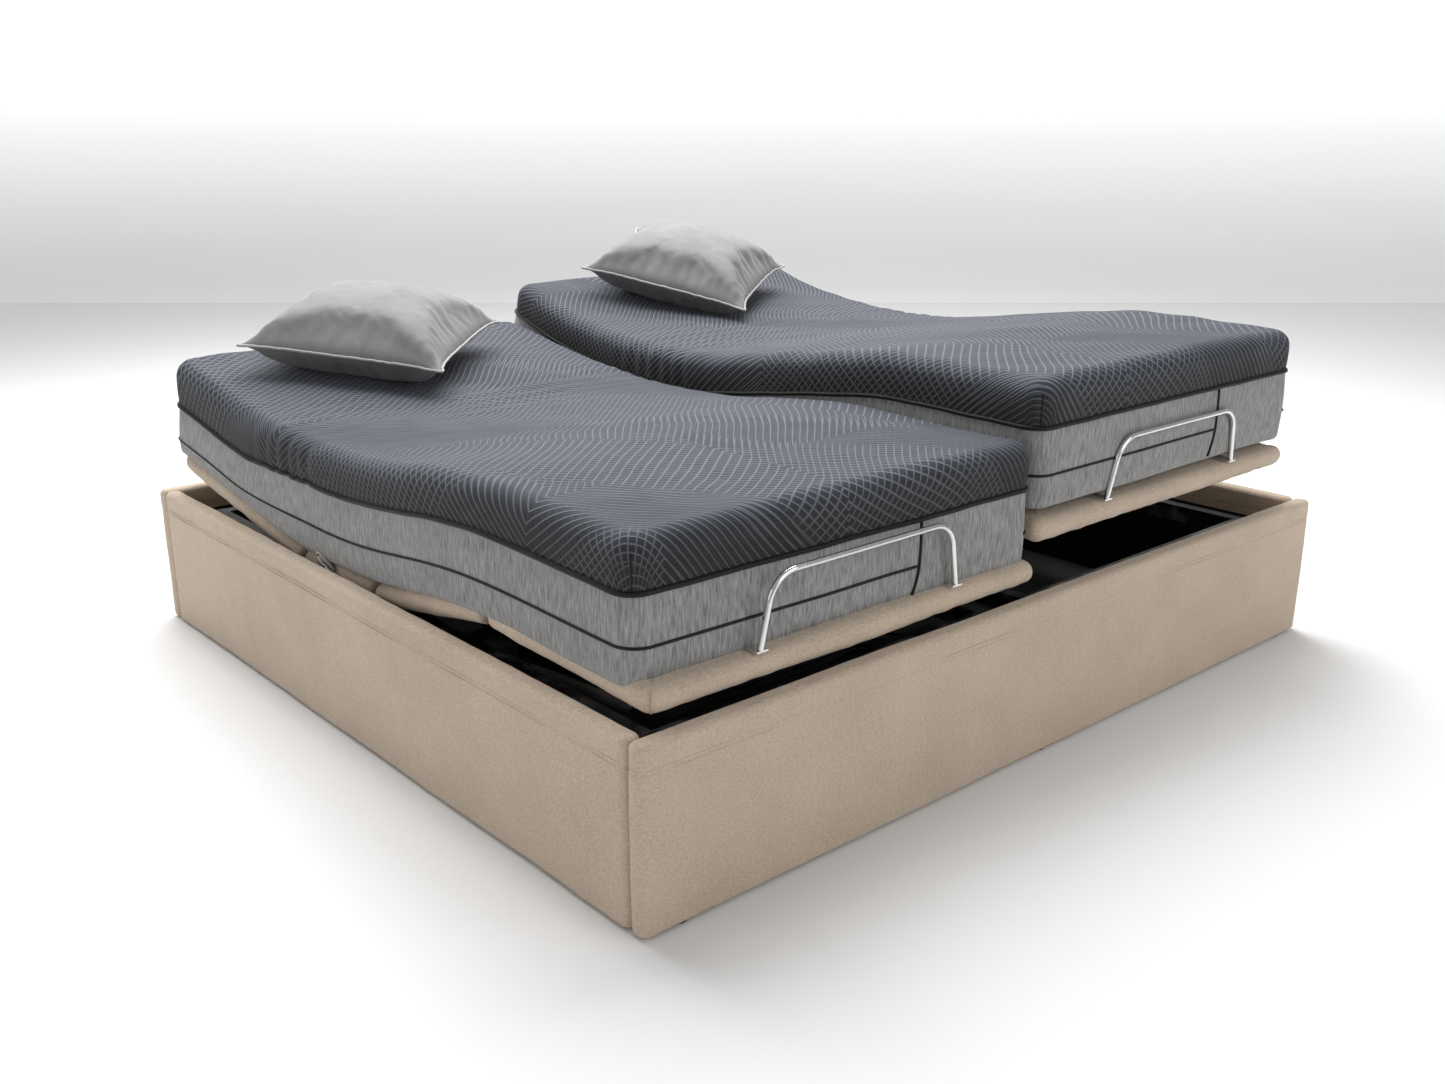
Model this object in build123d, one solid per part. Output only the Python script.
from build123d import *
import math
import os

# Double adjustable bed: an upholstered box with two independent lifting units.
# X runs across the bed, -Y is the foot end, +Y the head end, Z is up.
# The origin is on the floor under the middle of the box. All sizes in millimetres.

# ---------------------------------------------------------------- box
BOX_LENGTH = 2000.0
BOX_WIDTH = 2122.0
BOX_HEIGHT = 345.0
RAIL_THICKNESS = 42.0
RAIL_TOP_ROUND = 11.0
RAIL_CORNER_ROUND = 14.0
GLIDE_HEIGHT = 8.0
GLIDE_RADIUS = 14.0
GLIDE_INSET = 90.0
LINING_THICKNESS = 2.0
LINING_DROP = 65.0
BOARD_THICKNESS = 18.0
BRACKET_LEG = 60.0
BRACKET_PLATE = 3.0
BRACKET_HEIGHT = 130.0
BRACKET_CLEARANCE = 0.5
BOLT_RADIUS = 7.0
BOLT_HEAD = 5.0

# ---------------------------------------------------------------- decks
DECK_SIDE_CLEARANCE = 11.0
DECK_END_CLEARANCE = 8.0
UNIT_GAP = 16.0
DECK_THICKNESS = 52.0
DECK_PROUD = 2.0
DECK_EDGE_ROUND = 20.0
DECK_CORNER_ROUND = 30.0
BACK_LENGTH = 666.0
SEAT_LENGTH = 320.0
THIGH_LENGTH = 434.0
JOINT_GAP = 18.0
HINGE_DEPTH = 12.0
KNEE_DROP = 10.0

# ---------------------------------------------------------------- how far each section is raised
BACK_RAISED = {"left": 8.5, "right": 15.0}
THIGH_RAISED = {"left": 10.3, "right": 22.5}
BACK_TRAVEL = 60.0
THIGH_TRAVEL = 35.0
KNEE_PER_THIGH = 1.2

# ---------------------------------------------------------------- mattresses and cushions
MATTRESS_THICKNESS = 255.0
MATTRESS_SHIFT = 18.0
MATTRESS_CLEARANCE = 0.3
MATTRESS_CORNER = 60.0
KNEE_SPLIT = 1.0
BACK_WEDGE = 25.0
SEAT_HEAD_WEDGE = 36.0
SEAT_FOOT_WEDGE = 10.0
THIGH_WEDGE = 26.0
CUSHION_SIDE = 450.0
CUSHION_THICKNESS = 120.0
CUSHION_CORNER = 110.0
CUSHION_ROUND = 40.0
CUSHION_TURN = 45.0
CUSHION_CLEARANCE = 0.5
CUSHION_FROM_HEAD = {"left": 222.0, "right": 128.0}
CUSHION_SHIFT = {"left": -66.0, "right": 67.0}

# ---------------------------------------------------------------- steel frame
FRAME_DEPTH = 40.0
FRAME_TUBE = 30.0
FRAME_WALL = 2.0
FRAME_OFFSET = 440.0
FRAME_END_GAP = 50.0
LEG_RADIUS = 20.0
LEG_FOOT_RADIUS = 32.0
LEG_FOOT = 6.0
LEG_INSET = 130.0
CROSSBAR_INSET = 70.0

# ---------------------------------------------------------------- hinges
HINGE_OFFSET = 330.0
HINGE_PLATE_WIDTH = 50.0
FIXED_PLATE = 6.0
MOVING_PLATE = 5.0
EAR = 6.0
EYE_RADIUS = 8.0
PIN_RADIUS = 4.0
PIN_CLEARANCE = 0.05
EAR_CLEARANCE = 0.5
PIN_HEAD_RADIUS = 6.5
PIN_HEAD = 2.0

# ---------------------------------------------------------------- lift actuators and cranks
CRANK_DROP = 215.0
CRANK_PLATE = 6.0
CRANK_SPREAD = 32.0
CRANK_EYE = 24.0
CRANK_PIN_RADIUS = 5.0
SLOT_CLEARANCE = 0.4
BACK_PIN_DRIFT = 3.1
THIGH_PIN_DRIFT = 0.8
BACK_ROD_GAIN = 1.077
THIGH_ROD_GAIN = 1.025
HEAD_ACTUATOR_X = -75.0
LEG_ACTUATOR_X = 75.0
HEAD_REAR_FROM_THIGH = 254.0
LEG_REAR_FROM_BACK = 146.0
ACTUATOR_TUBE_RADIUS = 22.0
ROD_RADIUS = 10.0
ROD_CLEARANCE = 0.4
ROD_EYE = 26.0
GEARBOX = (64.0, 80.0, 76.0)
MOTOR_RADIUS = 30.0
MOTOR_LENGTH = 130.0
MOTOR_OFFSET = 56.0
LUG = 20.0
HANGER_PLATE = 6.0

# ---------------------------------------------------------------- calf links
LINK_PIVOT_FROM_KNEE = 310.0
LINK_PIVOT_DROP = 60.0
LINK_OFFSET = 409.0
LINK_THICKNESS = 8.0
LINK_WIDTH = 26.0
LINK_SIDE_CLEARANCE = 2.0
LINK_PIN_RADIUS = 6.0
LINK_SLACK = 2.2

# ---------------------------------------------------------------- small parts
BAR_SPAN = 505.0
BAR_HEIGHT = 138.0
BAR_RADIUS = 6.0
BAR_BEND = 58.0
BAR_SPLAY = 26.0
BAR_FROM_FOOT = 9.0
BAR_FOOT = (26.0, 60.0, 3.0)
LOOP_LENGTH = 88.0
LOOP_HEIGHT = 26.0
LOOP_WIRE = 2.5
LOOP_TILT = 20.0
LOOP_PLATE = 2.0
CONTROL_BOX = (230.0, 110.0, 62.0)
CONTROL_BOX_AT = (95.0, -560.0)
CABLE_RADIUS = 4.0

# ---------------------------------------------------------------- derived levels and places
INNER_X = BOX_WIDTH / 2 - RAIL_THICKNESS
INNER_Y = BOX_LENGTH / 2 - RAIL_THICKNESS
BOARD_BOTTOM = GLIDE_HEIGHT
BOARD_TOP = BOARD_BOTTOM + BOARD_THICKNESS
DECK_TOP = BOX_HEIGHT + DECK_PROUD
DECK_BOTTOM = DECK_TOP - DECK_THICKNESS
DECK_WIDTH = INNER_X - DECK_SIDE_CLEARANCE - UNIT_GAP / 2
DECK_END = INNER_Y - DECK_END_CLEARANCE
UNIT_CENTRE = UNIT_GAP / 2 + DECK_WIDTH / 2
BACK_Y = DECK_END - BACK_LENGTH
THIGH_Y = BACK_Y - SEAT_LENGTH
KNEE_Y = THIGH_Y - THIGH_LENGTH
HINGE_Z = DECK_TOP - HINGE_DEPTH
KNEE_Z = DECK_BOTTOM - KNEE_DROP
FRAME_TOP = DECK_BOTTOM - FIXED_PLATE
FRAME_BOTTOM = FRAME_TOP - FRAME_DEPTH
ROD_Z = HINGE_Z - CRANK_DROP
MATTRESS_BOTTOM = DECK_TOP + MATTRESS_CLEARANCE
MATTRESS_TOP = MATTRESS_BOTTOM + MATTRESS_THICKNESS
MATTRESS_FOOT = -DECK_END + MATTRESS_SHIFT
MATTRESS_HEAD = DECK_END + MATTRESS_SHIFT

ALONG_X = (1.0, 0.0, 0.0)
SIDES = {"left": -1.0, "right": 1.0}


# ---------------------------------------------------------------- shared shapes
def block(x0, x1, y0, y1, z0, z1):
    """A box given by its faces."""
    middle = Pos((x0 + x1) / 2, (y0 + y1) / 2, (z0 + z1) / 2)
    return middle * Box(x1 - x0, y1 - y0, z1 - z0)


def plate_yz(outline, x0, x1):
    """A flat plate whose outline lies in the YZ plane, between two X planes."""
    face = Plane.YZ * outline
    return Pos(x0, 0, 0) * extrude(face, x1 - x0)


def rod_x(y, z, radius, x0, x1):
    """A round bar along X."""
    return plate_yz(Pos(y, z) * Circle(radius), x0, x1)


def rod_y(x, z, radius, y0, y1):
    """A round bar along Y."""
    return Pos(x, (y0 + y1) / 2, z) * Rot(90, 0, 0) * Cylinder(radius, abs(y1 - y0))


def post(x, y, radius, z0, z1):
    """A round post along Z."""
    return Pos(x, y, (z0 + z1) / 2) * Cylinder(radius, z1 - z0)


def tube_y(x, y0, y1):
    """A frame tube along Y."""
    half = FRAME_TUBE / 2
    outer = block(x - half, x + half, y0, y1, FRAME_BOTTOM, FRAME_TOP)
    inner = block(x - half + FRAME_WALL, x + half - FRAME_WALL, y0, y1,
                  FRAME_BOTTOM + FRAME_WALL, FRAME_TOP - FRAME_WALL)
    return outer - inner


def tube_x(y, x0, x1):
    """A frame tube along X."""
    half = FRAME_TUBE / 2
    outer = block(x0, x1, y - half, y + half, FRAME_BOTTOM, FRAME_TOP)
    inner = block(x0, x1, y - half + FRAME_WALL, y + half - FRAME_WALL,
                  FRAME_BOTTOM + FRAME_WALL, FRAME_TOP - FRAME_WALL)
    return outer - inner


def hull(*sketches):
    """The outline stretched round several flat shapes."""
    return make_hull([edge for sketch in sketches for edge in sketch.edges()])


def group(shapes):
    """Several separate solids kept together as one part."""
    return Compound([solid for shape in shapes for solid in shape.solids()])


def polar(angle, radius):
    """A point below the hinge axis, turned from straight down towards +Y."""
    turn = math.radians(angle)
    return radius * math.sin(turn), -radius * math.cos(turn)


def turned(point, centre, angle):
    """A (y, z) point turned about another, anticlockwise seen from +X."""
    turn = math.radians(angle)
    dy = point[0] - centre[0]
    dz = point[1] - centre[1]
    return (centre[0] + dy * math.cos(turn) - dz * math.sin(turn),
            centre[1] + dy * math.sin(turn) + dz * math.cos(turn))


# ---------------------------------------------------------------- raising the sections
def raise_back(shape, side):
    return shape.rotate(Axis((0, BACK_Y, HINGE_Z), ALONG_X), BACK_RAISED[side])


def raise_thigh(shape, side):
    return shape.rotate(Axis((0, THIGH_Y, HINGE_Z), ALONG_X), -THIGH_RAISED[side])


def raise_calf(shape, side):
    knee = Axis((0, KNEE_Y, KNEE_Z), ALONG_X)
    return raise_thigh(shape.rotate(knee, KNEE_PER_THIGH * THIGH_RAISED[side]), side)


def knee_at(raised):
    return turned((KNEE_Y, KNEE_Z), (THIGH_Y, HINGE_Z), -raised)


def calf_point(point, raised):
    """Where a point of the flat calf section is when the thigh is raised."""
    carried = turned(point, (THIGH_Y, HINGE_Z), -raised)
    return turned(carried, knee_at(raised), KNEE_PER_THIGH * raised)


# ---------------------------------------------------------------- box
def rail(x0, x1, y0, y1, corners):
    """One upholstered board; the outer vertical corners named are rounded."""
    body = block(x0, x1, y0, y1, GLIDE_HEIGHT, BOX_HEIGHT)
    upright = [e for e in body.edges().filter_by(Axis.Z) if (e.center().X, e.center().Y) in corners]
    if upright:
        body = fillet(upright, RAIL_CORNER_ROUND)
    long_axis = Axis.X if x1 - x0 > y1 - y0 else Axis.Y
    top = body.edges().filter_by(long_axis).group_by(Axis.Z)[-1]
    return fillet(top, RAIL_TOP_ROUND)


def rails():
    half_x = BOX_WIDTH / 2
    half_y = BOX_LENGTH / 2
    foot_corners = {(-half_x, -half_y), (half_x, -half_y)}
    head_corners = {(-half_x, half_y), (half_x, half_y)}
    return {
        "foot_rail": rail(-half_x, half_x, -half_y, -INNER_Y, foot_corners),
        "head_rail": rail(-half_x, half_x, INNER_Y, half_y, head_corners),
        "left_side_rail": rail(-half_x, -INNER_X, -INNER_Y, INNER_Y, ()),
        "right_side_rail": rail(INNER_X, half_x, -INNER_Y, INNER_Y, ()),
    }


def inner_lining():
    outer = block(-INNER_X, INNER_X, -INNER_Y, INNER_Y, BOARD_TOP, BOX_HEIGHT - LINING_DROP)
    hole_x = INNER_X - LINING_THICKNESS
    hole_y = INNER_Y - LINING_THICKNESS
    return outer - block(-hole_x, hole_x, -hole_y, hole_y, BOARD_TOP, BOX_HEIGHT - LINING_DROP)


def base_board():
    return block(-INNER_X, INNER_X, -INNER_Y, INNER_Y, BOARD_BOTTOM, BOARD_TOP)


def glides():
    """Feet under the rails and under the board below each frame leg."""
    places = []
    rail_y = BOX_LENGTH / 2 - RAIL_THICKNESS / 2
    rail_x = BOX_WIDTH / 2 - RAIL_THICKNESS / 2
    for x in (-BOX_WIDTH / 2 + GLIDE_INSET, 0, BOX_WIDTH / 2 - GLIDE_INSET):
        places += [(x, -rail_y), (x, rail_y)]
    for y in (-INNER_Y / 2, 0, INNER_Y / 2):
        places += [(-rail_x, y), (rail_x, y)]
    for sign in SIDES.values():
        places += leg_places(sign * UNIT_CENTRE)
    return group([post(x, y, GLIDE_RADIUS, 0, GLIDE_HEIGHT) for x, y in places])


def corner_brackets():
    """Steel angles inside the four corners, and the bolts through them."""
    angles = []
    bolts = []
    reach_x = INNER_X - LINING_THICKNESS
    reach_y = INNER_Y - LINING_THICKNESS
    top = BOARD_TOP + BRACKET_HEIGHT
    for sx in (-1, 1):
        for sy in (-1, 1):
            x = sx * reach_x
            y = sy * reach_y
            near_x = x - sx * BRACKET_LEG
            near_y = y - sy * BRACKET_LEG
            one = block(min(x, near_x), max(x, near_x), min(y, y - sy * BRACKET_PLATE),
                        max(y, y - sy * BRACKET_PLATE), BOARD_TOP, top)
            two = block(min(x, x - sx * BRACKET_PLATE), max(x, x - sx * BRACKET_PLATE),
                        min(y, near_y), max(y, near_y), BOARD_TOP, top)
            angles.append(one + two)
            for z in (BOARD_TOP + BRACKET_HEIGHT / 4, BOARD_TOP + BRACKET_HEIGHT * 3 / 4):
                face_y = y - sy * BRACKET_PLATE
                face_x = x - sx * BRACKET_PLATE
                mid_x = x - sx * BRACKET_LEG * 0.6
                mid_y = y - sy * BRACKET_LEG * 0.6
                bolts.append(rod_y(mid_x, z, BOLT_RADIUS, face_y, face_y - sy * BOLT_HEAD))
                bolts.append(rod_x(mid_y, z, BOLT_RADIUS, min(face_x, face_x - sx * BOLT_HEAD),
                                   max(face_x, face_x - sx * BOLT_HEAD)))
    return group(angles), group(bolts)


# ---------------------------------------------------------------- decks, mattresses, cushions
def deck_panel(y0, y1, rounded):
    """One padded board; its sides, and its ends named in rounded, have a bullnose."""
    half = DECK_WIDTH / 2
    panel = block(-half, half, y0, y1, DECK_BOTTOM, DECK_TOP)
    corners = [e for e in panel.edges().filter_by(Axis.Z) if e.center().Y in rounded]
    if corners:
        panel = fillet(corners, DECK_CORNER_ROUND)
    joints = {y0, y1} - set(rounded)
    flat_edges = panel.faces().filter_by(Axis.Z).edges()
    nosed = [e for e in flat_edges if e.center().Y not in joints]
    return fillet(nosed, DECK_EDGE_ROUND)


def wedge_y(hinge_y, lean, z):
    """Where a leaning end face through a hinge axis is at height z."""
    return hinge_y + (z - HINGE_Z) * math.tan(math.radians(lean))


def mattress_block(low_at_bottom, low_at_top, high_at_bottom, high_at_top):
    """One stretch of mattress between two end faces, given by Y at its bottom and top."""
    outline = Polygon((low_at_bottom, MATTRESS_BOTTOM), (high_at_bottom, MATTRESS_BOTTOM),
                      (high_at_top, MATTRESS_TOP), (low_at_top, MATTRESS_TOP), align=None)
    return plate_yz(outline, -DECK_WIDTH / 2, DECK_WIDTH / 2)


def mattress_blocks():
    def face(hinge_y, lean):
        return wedge_y(hinge_y, lean, MATTRESS_BOTTOM), wedge_y(hinge_y, lean, MATTRESS_TOP)

    foot = (MATTRESS_FOOT, MATTRESS_FOOT)
    head = (MATTRESS_HEAD, MATTRESS_HEAD)
    knee_low = (KNEE_Y - KNEE_SPLIT / 2, KNEE_Y - KNEE_SPLIT / 2)
    knee_high = (KNEE_Y + KNEE_SPLIT / 2, KNEE_Y + KNEE_SPLIT / 2)
    calf = mattress_block(*foot, *knee_low)
    thigh = mattress_block(*knee_high, *face(THIGH_Y, -THIGH_WEDGE))
    seat = mattress_block(*face(THIGH_Y, SEAT_FOOT_WEDGE), *face(BACK_Y, -SEAT_HEAD_WEDGE))
    back = mattress_block(*face(BACK_Y, BACK_WEDGE), *head)
    calf = fillet(calf.edges().filter_by(Axis.Z).group_by(Axis.Y)[0], MATTRESS_CORNER)
    back = fillet(back.edges().filter_by(Axis.Z).group_by(Axis.Y)[-1], MATTRESS_CORNER)
    plates = [block(x - BAR_FOOT[0] / 2 - 1, x + BAR_FOOT[0] / 2 + 1, MATTRESS_FOOT,
                    bar_y() + BAR_FOOT[1] + 1, MATTRESS_BOTTOM, DECK_TOP + BAR_FOOT[2] + 1)
              for x in (-BAR_SPAN / 2, BAR_SPAN / 2)]
    return {"calf": calf - plates[0] - plates[1], "thigh": thigh, "seat": seat, "back": back}


def cushion(side):
    outline = RectangleRounded(CUSHION_SIDE, CUSHION_SIDE, CUSHION_CORNER)
    pad = extrude(outline, CUSHION_THICKNESS)
    pad = fillet(pad.faces().filter_by(Axis.Z).edges(), CUSHION_ROUND)
    where = Pos(CUSHION_SHIFT[side], DECK_END - CUSHION_FROM_HEAD[side], MATTRESS_TOP + CUSHION_CLEARANCE)
    return where * Rot(0, 0, CUSHION_TURN) * pad


# ---------------------------------------------------------------- frame
def leg_places(centre_x):
    rows = (-DECK_END + LEG_INSET, (BACK_Y + THIGH_Y) / 2, DECK_END - LEG_INSET)
    return [(centre_x + x, y) for x in (-FRAME_OFFSET, FRAME_OFFSET) for y in rows]


def frame_legs():
    legs = []
    for x, y in leg_places(0):
        stem = post(x, y, LEG_RADIUS, BOARD_TOP + LEG_FOOT, FRAME_BOTTOM)
        legs.append(stem + post(x, y, LEG_FOOT_RADIUS, BOARD_TOP, BOARD_TOP + LEG_FOOT))
    return group(legs)


def head_actuator_rear():
    return THIGH_Y - HEAD_REAR_FROM_THIGH


def leg_actuator_rear():
    return BACK_Y + LEG_REAR_FROM_BACK


def hanger(x, y):
    """Two plates under a crossbar that carry the rear pin of an actuator."""
    arms = []
    inner = LUG / 2 + EAR_CLEARANCE
    for sign in (-1, 1):
        x0 = min(sign * inner, sign * (inner + HANGER_PLATE)) + x
        top = Pos(y, FRAME_BOTTOM - 2) * Rectangle(FRAME_TUBE, 4)
        eye = Pos(y, ROD_Z) * Circle(CRANK_PIN_RADIUS * 2.4)
        arms.append(plate_yz(hull(top, eye), x0, x0 + HANGER_PLATE))
    pin = rod_x(y, ROD_Z, CRANK_PIN_RADIUS, x - inner - HANGER_PLATE, x + inner + HANGER_PLATE)
    return arms[0] + arms[1] + pin


def frame_crossbars():
    reach = FRAME_OFFSET - FRAME_TUBE / 2
    rows = (-DECK_END + CROSSBAR_INSET, THIGH_Y + 96, BACK_Y - 89, DECK_END - CROSSBAR_INSET)
    bars = [tube_x(y, -reach, reach) for y in rows]
    bars.append(tube_x(head_actuator_rear(), -reach, reach) + hanger(HEAD_ACTUATOR_X, head_actuator_rear()))
    bars.append(tube_x(leg_actuator_rear(), -reach, reach) + hanger(LEG_ACTUATOR_X, leg_actuator_rear()))
    return group(bars)


def link_centre():
    """The fixed pivot of the calf link: the centre of the arc its far end follows."""
    start = (KNEE_Y - LINK_PIVOT_FROM_KNEE, DECK_BOTTOM - LINK_PIVOT_DROP)
    points = [calf_point(start, share * THIGH_TRAVEL) for share in (0, 0.5, 1)]
    (ay, az), (by, bz), (cy, cz) = points
    d = 2 * (ay * (bz - cz) + by * (cz - az) + cy * (az - bz))
    a2 = ay * ay + az * az
    b2 = by * by + bz * bz
    c2 = cy * cy + cz * cz
    y = (a2 * (bz - cz) + b2 * (cz - az) + c2 * (az - bz)) / d
    z = (a2 * (cy - by) + b2 * (ay - cy) + c2 * (by - ay)) / d
    return y, z


def link_end(raised):
    return calf_point((KNEE_Y - LINK_PIVOT_FROM_KNEE, DECK_BOTTOM - LINK_PIVOT_DROP), raised)


def link_angle(raised):
    """Direction of the calf link in degrees, measured from +Y towards +Z."""
    centre = link_centre()
    end = link_end(raised)
    return math.degrees(math.atan2(end[1] - centre[1], end[0] - centre[0])) % 360


def frame_rails():
    """The two long tubes, each with the plate that carries a calf link."""
    length = DECK_END - FRAME_END_GAP
    y, z = link_centre()
    parts = []
    for sign in (-1, 1):
        tube = tube_y(sign * FRAME_OFFSET, -length, length)
        inside = sign * (FRAME_OFFSET - FRAME_TUBE / 2)
        x0 = min(inside, inside - sign * EAR)
        eye = Pos(y, z) * Circle(LINK_WIDTH / 2)
        root = Pos(y, FRAME_TOP - FRAME_DEPTH / 2) * Rectangle(FRAME_TUBE * 2, FRAME_DEPTH)
        plate = plate_yz(hull(eye, root), x0, x0 + EAR)
        hole = rod_x(y, z, LINK_PIN_RADIUS + PIN_CLEARANCE, x0, x0 + EAR)
        parts.append(tube + (plate - hole))
    return group(parts)


# ---------------------------------------------------------------- hinges and brackets
def ear_outline(y, z, root_y0, root_y1, root_z0, root_z1):
    root = Pos((root_y0 + root_y1) / 2, (root_z0 + root_z1) / 2)
    return hull(Pos(y, z) * Circle(EYE_RADIUS), root * Rectangle(root_y1 - root_y0, root_z1 - root_z0))


def straight_ear(y, towards, plate, x0, x1, bore):
    """An ear that rises through the joint gap from a plate under the panel."""
    arm = block(x0, x1, y - EYE_RADIUS * 0.7, y + EYE_RADIUS * 0.7, DECK_BOTTOM - plate, HINGE_Z)
    eye = rod_x(y, HINGE_Z, EYE_RADIUS, x0, x1)
    reach = y + towards * (JOINT_GAP / 2 + 1)
    foot = block(x0, x1, min(y, reach), max(y, reach), DECK_BOTTOM - plate, DECK_BOTTOM)
    return arm + eye + foot - rod_x(y, HINGE_Z, bore, x0, x1)


def fixed_ears(y, towards, x):
    inner = MOVING_PLATE / 2 + EAR_CLEARANCE
    bore = PIN_RADIUS
    left = straight_ear(y, towards, FIXED_PLATE, x - inner - EAR, x - inner, bore)
    right = straight_ear(y, towards, FIXED_PLATE, x + inner, x + inner + EAR, bore)
    return left + right


def moving_ear(y, towards, x):
    half = MOVING_PLATE / 2
    return straight_ear(y, towards, MOVING_PLATE, x - half, x + half, PIN_RADIUS + PIN_CLEARANCE)


def hinge_pin(y, z, x):
    half = MOVING_PLATE / 2 + EAR_CLEARANCE + EAR
    pin = rod_x(y, z, PIN_RADIUS, x - half, x + half)
    heads = [rod_x(y, z, PIN_HEAD_RADIUS, x + half, x + half + PIN_HEAD),
             rod_x(y, z, PIN_HEAD_RADIUS, x - half - PIN_HEAD, x - half)]
    return pin + heads[0] + heads[1]


def seat_brackets():
    """Two straps under the seat panel, with the fixed ears of both hinges."""
    straps = []
    half = HINGE_PLATE_WIDTH / 2
    for x in (-HINGE_OFFSET, HINGE_OFFSET):
        strap = block(x - half, x + half, THIGH_Y + JOINT_GAP / 2, BACK_Y - JOINT_GAP / 2,
                      DECK_BOTTOM - FIXED_PLATE, DECK_BOTTOM)
        straps.append(strap + fixed_ears(BACK_Y, -1, x) + fixed_ears(THIGH_Y, 1, x))
    return group(straps)


def hinge_pins():
    places = [(y, x) for y in (BACK_Y, THIGH_Y) for x in (-HINGE_OFFSET, HINGE_OFFSET)]
    return group([hinge_pin(y, HINGE_Z, x) for y, x in places])


def crank_plates(hinge_y, flat_angle, travel, base_y0, base_y1, drift, x):
    """Two plates under a panel with the slot that the rod's cross pin slides in."""
    low = CRANK_DROP
    high = CRANK_DROP / math.cos(math.radians(travel / 2))
    dy0, dz0 = polar(flat_angle, low)
    dy1, dz1 = polar(flat_angle, high)
    root_z = DECK_BOTTOM - MOVING_PLATE / 2
    root = Pos((base_y0 + base_y1) / 2, root_z) * Rectangle(base_y1 - base_y0, MOVING_PLATE)
    near = Pos(hinge_y + dy0, HINGE_Z + dz0) * Circle(CRANK_EYE)
    far = Pos(hinge_y + dy1, HINGE_Z + dz1) * Circle(CRANK_EYE)
    middle = Pos(hinge_y + (dy0 + dy1) / 2, HINGE_Z + (dz0 + dz1) / 2)
    slot_height = 2 * (CRANK_PIN_RADIUS + drift + SLOT_CLEARANCE)
    slot = middle * Rot(0, 0, flat_angle + 90) * SlotCenterToCenter(high - low + 2 * SLOT_CLEARANCE, slot_height)
    outline = hull(root, near, far) - slot
    plates = []
    for sign in (-1, 1):
        inner = x + sign * CRANK_SPREAD / 2
        outer = x + sign * (CRANK_SPREAD / 2 + CRANK_PLATE)
        plates.append(plate_yz(outline, min(inner, outer), max(inner, outer)))
    return plates[0] + plates[1]


def under_plate(x0, x1, y0, y1):
    return block(x0, x1, y0, y1, DECK_BOTTOM - MOVING_PLATE, DECK_BOTTOM)


def back_bracket():
    half = HINGE_PLATE_WIDTH / 2
    start = BACK_Y + JOINT_GAP / 2
    body = under_plate(-HINGE_OFFSET - half, HINGE_OFFSET + half, start, start + 60)
    for x in (-HINGE_OFFSET, HINGE_OFFSET):
        body += under_plate(x - half, x + half, start, start + 260)
        body += moving_ear(BACK_Y, 1, x)
    crank = crank_plates(BACK_Y, -BACK_TRAVEL / 2, BACK_TRAVEL, start, start + 60,
                         BACK_PIN_DRIFT, HEAD_ACTUATOR_X)
    return body + crank


def thigh_bracket():
    half = HINGE_PLATE_WIDTH / 2
    start = THIGH_Y - JOINT_GAP / 2
    end = KNEE_Y + JOINT_GAP / 2
    body = under_plate(-HINGE_OFFSET - half, HINGE_OFFSET + half, start - 60, start)
    for x in (-HINGE_OFFSET, HINGE_OFFSET):
        body += under_plate(x - half, x + half, end, start)
        body += moving_ear(THIGH_Y, -1, x)
        inner = MOVING_PLATE / 2 + EAR_CLEARANCE
        for x0 in (x - inner - EAR, x + inner):
            outline = ear_outline(KNEE_Y, KNEE_Z, end, end + 24, DECK_BOTTOM - MOVING_PLATE, DECK_BOTTOM)
            body += plate_yz(outline, x0, x0 + EAR)
        body += hinge_pin(KNEE_Y, KNEE_Z, x)
    crank = crank_plates(THIGH_Y, THIGH_TRAVEL / 2, THIGH_TRAVEL, start - 60, start,
                         THIGH_PIN_DRIFT, LEG_ACTUATOR_X)
    return body + crank


def calf_bracket():
    """Straps under the calf panel, with the knee ears and the plates for the links."""
    half = HINGE_PLATE_WIDTH / 2
    start = KNEE_Y - JOINT_GAP / 2
    pivot_y = KNEE_Y - LINK_PIVOT_FROM_KNEE
    pivot_z = DECK_BOTTOM - LINK_PIVOT_DROP
    reach = LINK_OFFSET - LINK_THICKNESS / 2 - LINK_SIDE_CLEARANCE
    body = under_plate(-reach, reach, pivot_y - 25, pivot_y + 25)
    for x in (-HINGE_OFFSET, HINGE_OFFSET):
        body += under_plate(x - half, x + half, pivot_y - 25, start)
        outline = ear_outline(KNEE_Y, KNEE_Z, start - 24, start, DECK_BOTTOM - MOVING_PLATE, DECK_BOTTOM)
        ear = plate_yz(outline, x - MOVING_PLATE / 2, x + MOVING_PLATE / 2)
        body += ear - rod_x(KNEE_Y, KNEE_Z, PIN_RADIUS + PIN_CLEARANCE, x - EAR, x + EAR)
    for sign in (-1, 1):
        x0 = min(sign * reach, sign * (reach - EAR))
        eye = Pos(pivot_y, pivot_z) * Circle(LINK_PIN_RADIUS + LINK_SLACK + 7)
        root = Pos(pivot_y, DECK_BOTTOM - MOVING_PLATE / 2) * Rectangle(50, MOVING_PLATE)
        plate = plate_yz(hull(eye, root), x0, x0 + EAR)
        body += plate - rod_x(pivot_y, pivot_z, LINK_PIN_RADIUS + LINK_SLACK, x0, x0 + EAR)
    return body


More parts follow.
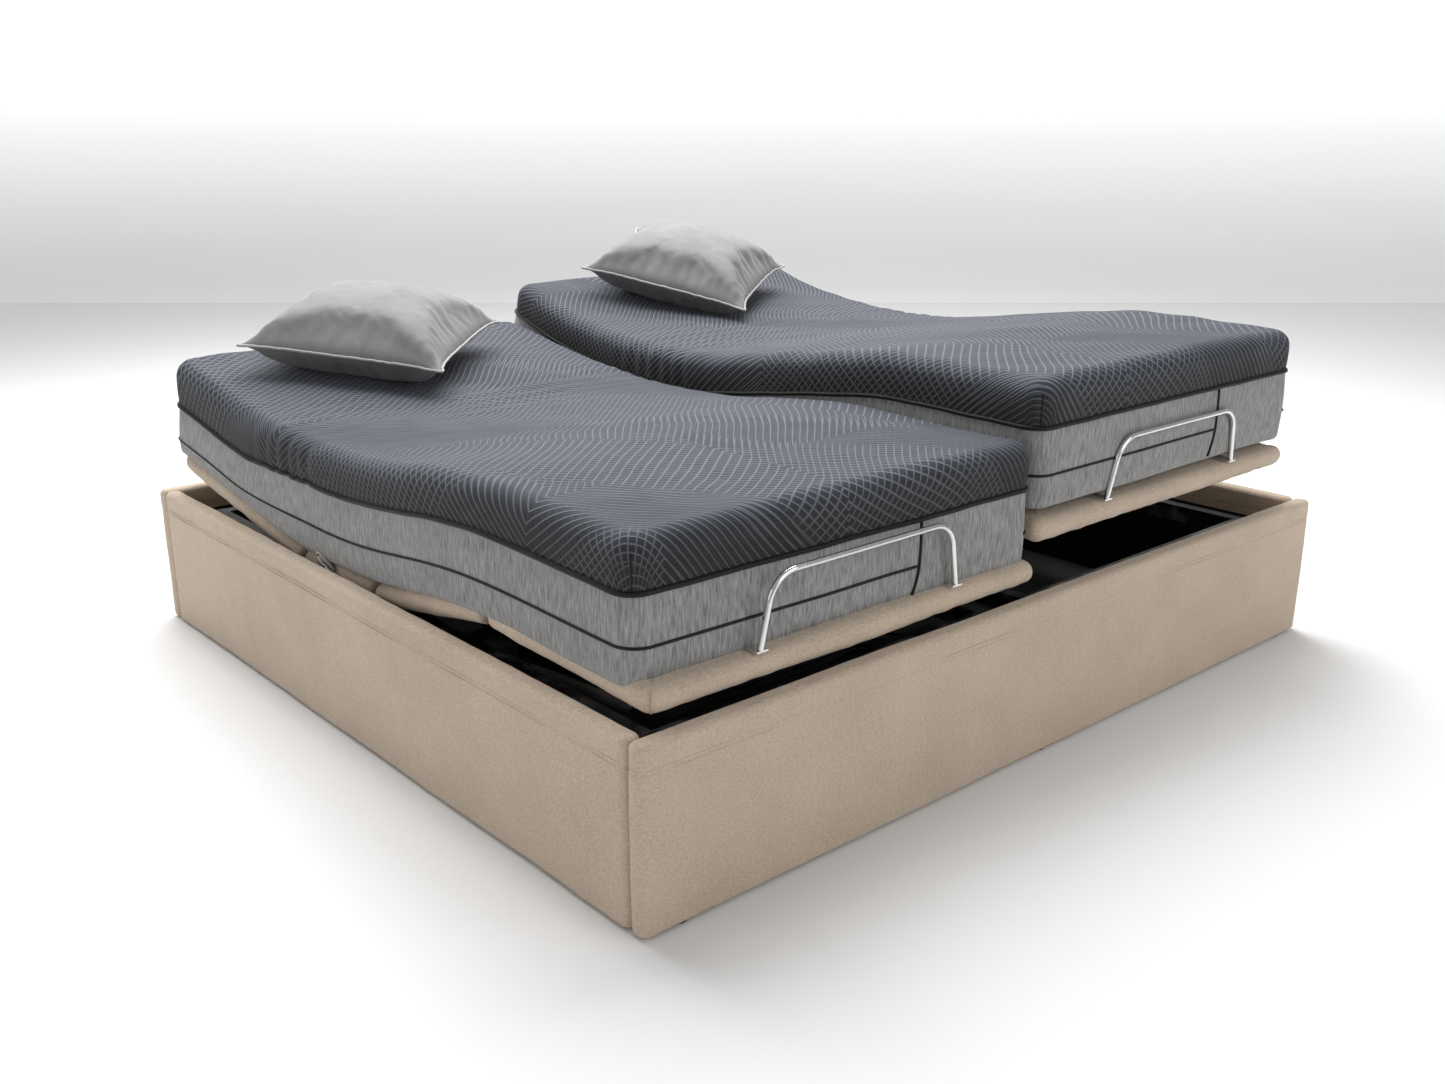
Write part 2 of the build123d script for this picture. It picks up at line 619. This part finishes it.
def calf_links(side):
    """A flat arm each side, with its fixed-end pin and the pin that carries the calf."""
    y, z = link_centre()
    end_y, end_z = link_end(THIGH_RAISED[side])
    length = math.hypot(end_y - y, end_z - z)
    arms = []
    for sign in (-1, 1):
        x = sign * LINK_OFFSET
        root = Pos(y, z) * Circle(LINK_WIDTH / 2)
        tip = Pos(y - length, z) * Circle(LINK_WIDTH / 2)
        arm = plate_yz(hull(root, tip), x - LINK_THICKNESS / 2, x + LINK_THICKNESS / 2)
        outer = sign * (FRAME_OFFSET - FRAME_TUBE / 2)
        inner = sign * (LINK_OFFSET - LINK_THICKNESS / 2 - LINK_SIDE_CLEARANCE - EAR - 2)
        arm += rod_x(y, z, LINK_PIN_RADIUS, min(x, outer), max(x, outer))
        arm += rod_x(y - length, z, LINK_PIN_RADIUS, min(x, inner), max(x, inner))
        arms.append(arm)
    turn = link_angle(THIGH_RAISED[side]) - 180
    return group(arms).rotate(Axis((0, y, z), ALONG_X), turn)


# ---------------------------------------------------------------- actuators
def actuator_body(x, rear, front, motor_side):
    """Rear lug, gearbox, side motor and the tube that the rod slides in."""
    way = 1 if front > rear else -1
    lug = block(x - LUG / 2, x + LUG / 2, min(rear - 12 * way, rear + 30 * way),
                max(rear - 12 * way, rear + 30 * way), ROD_Z - 12, ROD_Z + 12)
    lug -= rod_x(rear, ROD_Z, CRANK_PIN_RADIUS + PIN_CLEARANCE, x - LUG, x + LUG)
    box_near = rear + 28 * way
    box_far = box_near + GEARBOX[1] * way
    motor_x = x + motor_side * MOTOR_OFFSET
    side_reach = motor_x + motor_side * MOTOR_RADIUS
    gearbox = block(min(x - motor_side * GEARBOX[0] / 2, side_reach),
                    max(x - motor_side * GEARBOX[0] / 2, side_reach),
                    min(box_near, box_far), max(box_near, box_far),
                    ROD_Z - GEARBOX[2] / 2, ROD_Z + GEARBOX[2] / 2)
    gearbox = fillet(gearbox.edges().filter_by(Axis.Y), 12)
    motor = rod_y(motor_x, ROD_Z, MOTOR_RADIUS - 1, box_far, box_far + MOTOR_LENGTH * way)
    tube = rod_y(x, ROD_Z, ACTUATOR_TUBE_RADIUS, box_far, front)
    bore = rod_y(x, ROD_Z, ROD_RADIUS + ROD_CLEARANCE, box_far, front)
    return lug + gearbox + motor + (tube - bore)


def actuator_rod(x, pin_y, inside_y):
    """The push rod, its end block and the cross pin in the crank slots."""
    way = 1 if pin_y > inside_y else -1
    shaft = rod_y(x, ROD_Z, ROD_RADIUS, inside_y, pin_y - way * ROD_EYE / 2)
    half = CRANK_SPREAD / 2 - EAR_CLEARANCE
    eye = block(x - half, x + half, pin_y - ROD_EYE / 2, pin_y + ROD_EYE / 2,
                ROD_Z - ROD_EYE / 2, ROD_Z + ROD_EYE / 2)
    reach = CRANK_SPREAD / 2 + CRANK_PLATE + 3
    return shaft + eye + rod_x(pin_y, ROD_Z, CRANK_PIN_RADIUS, x - reach, x + reach)


def rod_pin_y(hinge_y, flat_angle, gain, raised, way):
    """Where the rod's cross pin is when the section is raised by an angle."""
    start = hinge_y - way * gain * CRANK_DROP * math.radians(flat_angle)
    return start + way * gain * CRANK_DROP * math.radians(raised)


def actuators(side):
    head_flat = rod_pin_y(BACK_Y, BACK_TRAVEL / 2, BACK_ROD_GAIN, 0, 1)
    head_pin = rod_pin_y(BACK_Y, BACK_TRAVEL / 2, BACK_ROD_GAIN, BACK_RAISED[side], 1)
    leg_flat = rod_pin_y(THIGH_Y, THIGH_TRAVEL / 2, THIGH_ROD_GAIN, 0, -1)
    leg_pin = rod_pin_y(THIGH_Y, THIGH_TRAVEL / 2, THIGH_ROD_GAIN, THIGH_RAISED[side], -1)
    head_front = head_flat - 36
    leg_front = leg_flat + 36
    head_inside = head_actuator_rear() + 28 + GEARBOX[1] + 8
    leg_inside = leg_actuator_rear() - 28 - GEARBOX[1] - 8
    return {
        "head_actuator": actuator_body(HEAD_ACTUATOR_X, head_actuator_rear(), head_front, -1),
        "head_rod": actuator_rod(HEAD_ACTUATOR_X, head_pin, head_inside + head_pin - head_flat),
        "leg_actuator": actuator_body(LEG_ACTUATOR_X, leg_actuator_rear(), leg_front, 1),
        "leg_rod": actuator_rod(LEG_ACTUATOR_X, leg_pin, leg_inside + leg_pin - leg_flat),
    }


# ---------------------------------------------------------------- small parts
def bar_y():
    return -DECK_END + BAR_FROM_FOOT


def retainer_bar():
    """A bent round bar that stands at the foot of the mattress on two foot plates."""
    foot_x = BAR_SPAN / 2
    shoulder = foot_x - BAR_SPLAY
    z0 = DECK_TOP + BAR_FOOT[2]
    z1 = DECK_TOP + BAR_HEIGHT - BAR_RADIUS
    y = bar_y()
    path = FilletPolyline((-foot_x, y, z0), (-shoulder, y, z1), (shoulder, y, z1), (foot_x, y, z0),
                          radius=BAR_BEND)
    section = Plane(origin=path @ 0, z_dir=path % 0) * Circle(BAR_RADIUS)
    bar = sweep(section, path=path)
    bar -= block(-foot_x * 2, foot_x * 2, y - 20, y + 20, DECK_TOP - 10, z0)
    for x in (-foot_x, foot_x):
        half = BAR_FOOT[0] / 2
        bar += block(x - half, x + half, y - BAR_RADIUS, y + BAR_FOOT[1], DECK_TOP, z0 + 0.5)
    return bar


def side_loop(side):
    """A bent wire loop on a small plate, screwed to the outer side of the seat panel."""
    outward = SIDES[side]
    length = LOOP_LENGTH - LOOP_HEIGHT
    plate = SlotCenterToCenter(length, LOOP_HEIGHT)
    hole = SlotCenterToCenter(length, LOOP_HEIGHT - 4 * LOOP_WIRE)
    ring = extrude(plate - hole, 2 * LOOP_WIRE)
    back_plate = extrude(SlotCenterToCenter(length, LOOP_HEIGHT - 2 * LOOP_WIRE), LOOP_PLATE)
    screws = [extrude(Pos(at, 0) * Circle(5), LOOP_PLATE + 3) for at in (-length / 2 + 2, length / 2 - 18)]
    piece = ring + back_plate + screws[0] + screws[1]
    upright = Plane(origin=(0, 0, 0), x_dir=(0, 1, 0), z_dir=(outward, 0, 0))
    placed = upright.location * (Rot(0, 0, LOOP_TILT * outward) * piece)
    middle_y = BACK_Y - SEAT_LENGTH * 0.4
    return Pos(outward * DECK_WIDTH / 2, middle_y, DECK_TOP - 7) * placed


def control_box():
    """The shared control box on the base board, with its row of cable glands."""
    x, y = CONTROL_BOX_AT
    length, width, height = CONTROL_BOX
    body = block(x - length / 2, x + length / 2, y - width / 2, y + width / 2, BOARD_TOP, BOARD_TOP + height)
    body = fillet(body.edges().filter_by(Axis.Z), 10)
    body = fillet(body.edges().group_by(Axis.Z)[-1], 4)
    for share in (-0.35, -0.15, 0.05, 0.25):
        gland = rod_y(x + share * length, BOARD_TOP + height / 2, CABLE_RADIUS * 1.8,
                      y + width / 2, y + width / 2 + 14)
        body += gland
    return body


def cable(points, radii):
    path = FilletPolyline(*points, radius=radii)
    section = Plane(origin=path @ 0, z_dir=path % 0) * Circle(CABLE_RADIUS)
    return sweep(section, path=path)


def motor_back(side, head):
    """The motor's far end face, where its cable goes in."""
    sign = SIDES[side]
    if head:
        y = head_actuator_rear() + 28 + GEARBOX[1] + MOTOR_LENGTH
        return sign * UNIT_CENTRE + HEAD_ACTUATOR_X - MOTOR_OFFSET, y
    y = leg_actuator_rear() - 28 - GEARBOX[1] - MOTOR_LENGTH
    return sign * UNIT_CENTRE + LEG_ACTUATOR_X + MOTOR_OFFSET, y


def internal_cables():
    """Four leads on the base board, from the control box up to the four motors."""
    x, y = CONTROL_BOX_AT
    length, width, height = CONTROL_BOX
    floor = BOARD_TOP + CABLE_RADIUS + 1
    leads = []
    runs = ((-0.35, "left", True), (-0.15, "left", False), (0.05, "right", True), (0.25, "right", False))
    for index, (share, side, head) in enumerate(runs):
        start = (x + share * length, y + width / 2 + 14, BOARD_TOP + height / 2)
        end_x, end_y = motor_back(side, head)
        step = 1 if head else -1
        lane = y + width / 2 + 90 + 28 * index
        points = [start, (start[0], start[1] + 40, start[2]), (start[0], lane, floor),
                  (end_x, lane, floor), (end_x, end_y + step * 60, floor),
                  (end_x, end_y + step * 36, ROD_Z), (end_x, end_y, ROD_Z)]
        leads.append(cable(points, 12))
    return group(leads)


# ---------------------------------------------------------------- assembly
def unit(side):
    """Every node of one lifting unit, in the pose given by the raised angles."""
    end = JOINT_GAP / 2
    blocks = mattress_blocks()
    parts = {
        "deck_back": raise_back(deck_panel(BACK_Y + end, DECK_END, (DECK_END,)), side),
        "deck_seat": deck_panel(THIGH_Y + end, BACK_Y - end, ()),
        "deck_thigh": raise_thigh(deck_panel(KNEE_Y + end, THIGH_Y - end, ()), side),
        "deck_calf": raise_calf(deck_panel(-DECK_END, KNEE_Y - end, (-DECK_END,)), side),
        "mattress_back": raise_back(blocks["back"], side),
        "mattress_seat": blocks["seat"],
        "mattress_thigh": raise_thigh(blocks["thigh"], side),
        "mattress_calf": raise_calf(blocks["calf"], side),
        "cushion": raise_back(cushion(side), side),
        "frame_rails": frame_rails(),
        "frame_crossbars": frame_crossbars(),
        "frame_legs": frame_legs(),
        "seat_brackets": seat_brackets(),
        "hinge_pins": hinge_pins(),
        "back_bracket": raise_back(back_bracket(), side),
        "thigh_bracket": raise_thigh(thigh_bracket(), side),
        "calf_bracket": raise_calf(calf_bracket(), side),
        "calf_links": calf_links(side),
        "retainer_bar": raise_calf(retainer_bar(), side),
        "side_loop": side_loop(side),
    }
    parts.update(actuators(side))
    shift = Pos(SIDES[side] * UNIT_CENTRE, 0, 0)
    return {f"{side}_{name}": shift * shape for name, shape in parts.items()}


def assembly():
    nodes = rails()
    nodes["inner_lining"] = inner_lining()
    nodes["base_board"] = base_board()
    nodes["glides"] = glides()
    nodes["corner_brackets"], nodes["corner_bolts"] = corner_brackets()
    nodes["control_box"] = control_box()
    nodes["internal_cables"] = internal_cables()
    for side in SIDES:
        nodes.update(unit(side))
    return nodes


def print_joints():
    """The joint places and ratios that follow from the sizes above."""
    y, z = link_centre()
    gain = (link_angle(THIGH_TRAVEL) - link_angle(0)) / THIGH_TRAVEL
    print(f"back hinge y {BACK_Y} z {HINGE_Z}; thigh hinge y {THIGH_Y} z {HINGE_Z}")
    for side in SIDES:
        knee = knee_at(THIGH_RAISED[side])
        print(f"{side} knee y {knee[0]:.4f} z {knee[1]:.4f} link angle {link_angle(THIGH_RAISED[side]):.3f}")
    print(f"link pivot y {y:.4f} z {z:.4f}, degrees per degree of thigh {gain:.5f}")
    print(f"head rod m per rad {BACK_ROD_GAIN * CRANK_DROP / 1000:.6f}")
    print(f"leg rod m per rad {THIGH_ROD_GAIN * CRANK_DROP / 1000:.6f}")
    print(f"unit centre {UNIT_CENTRE}, rod height {ROD_Z}")


os.makedirs("parts", exist_ok=True)
for node, shape in assembly().items():
    export_step(shape, f"parts/{node}.step")
print_joints()
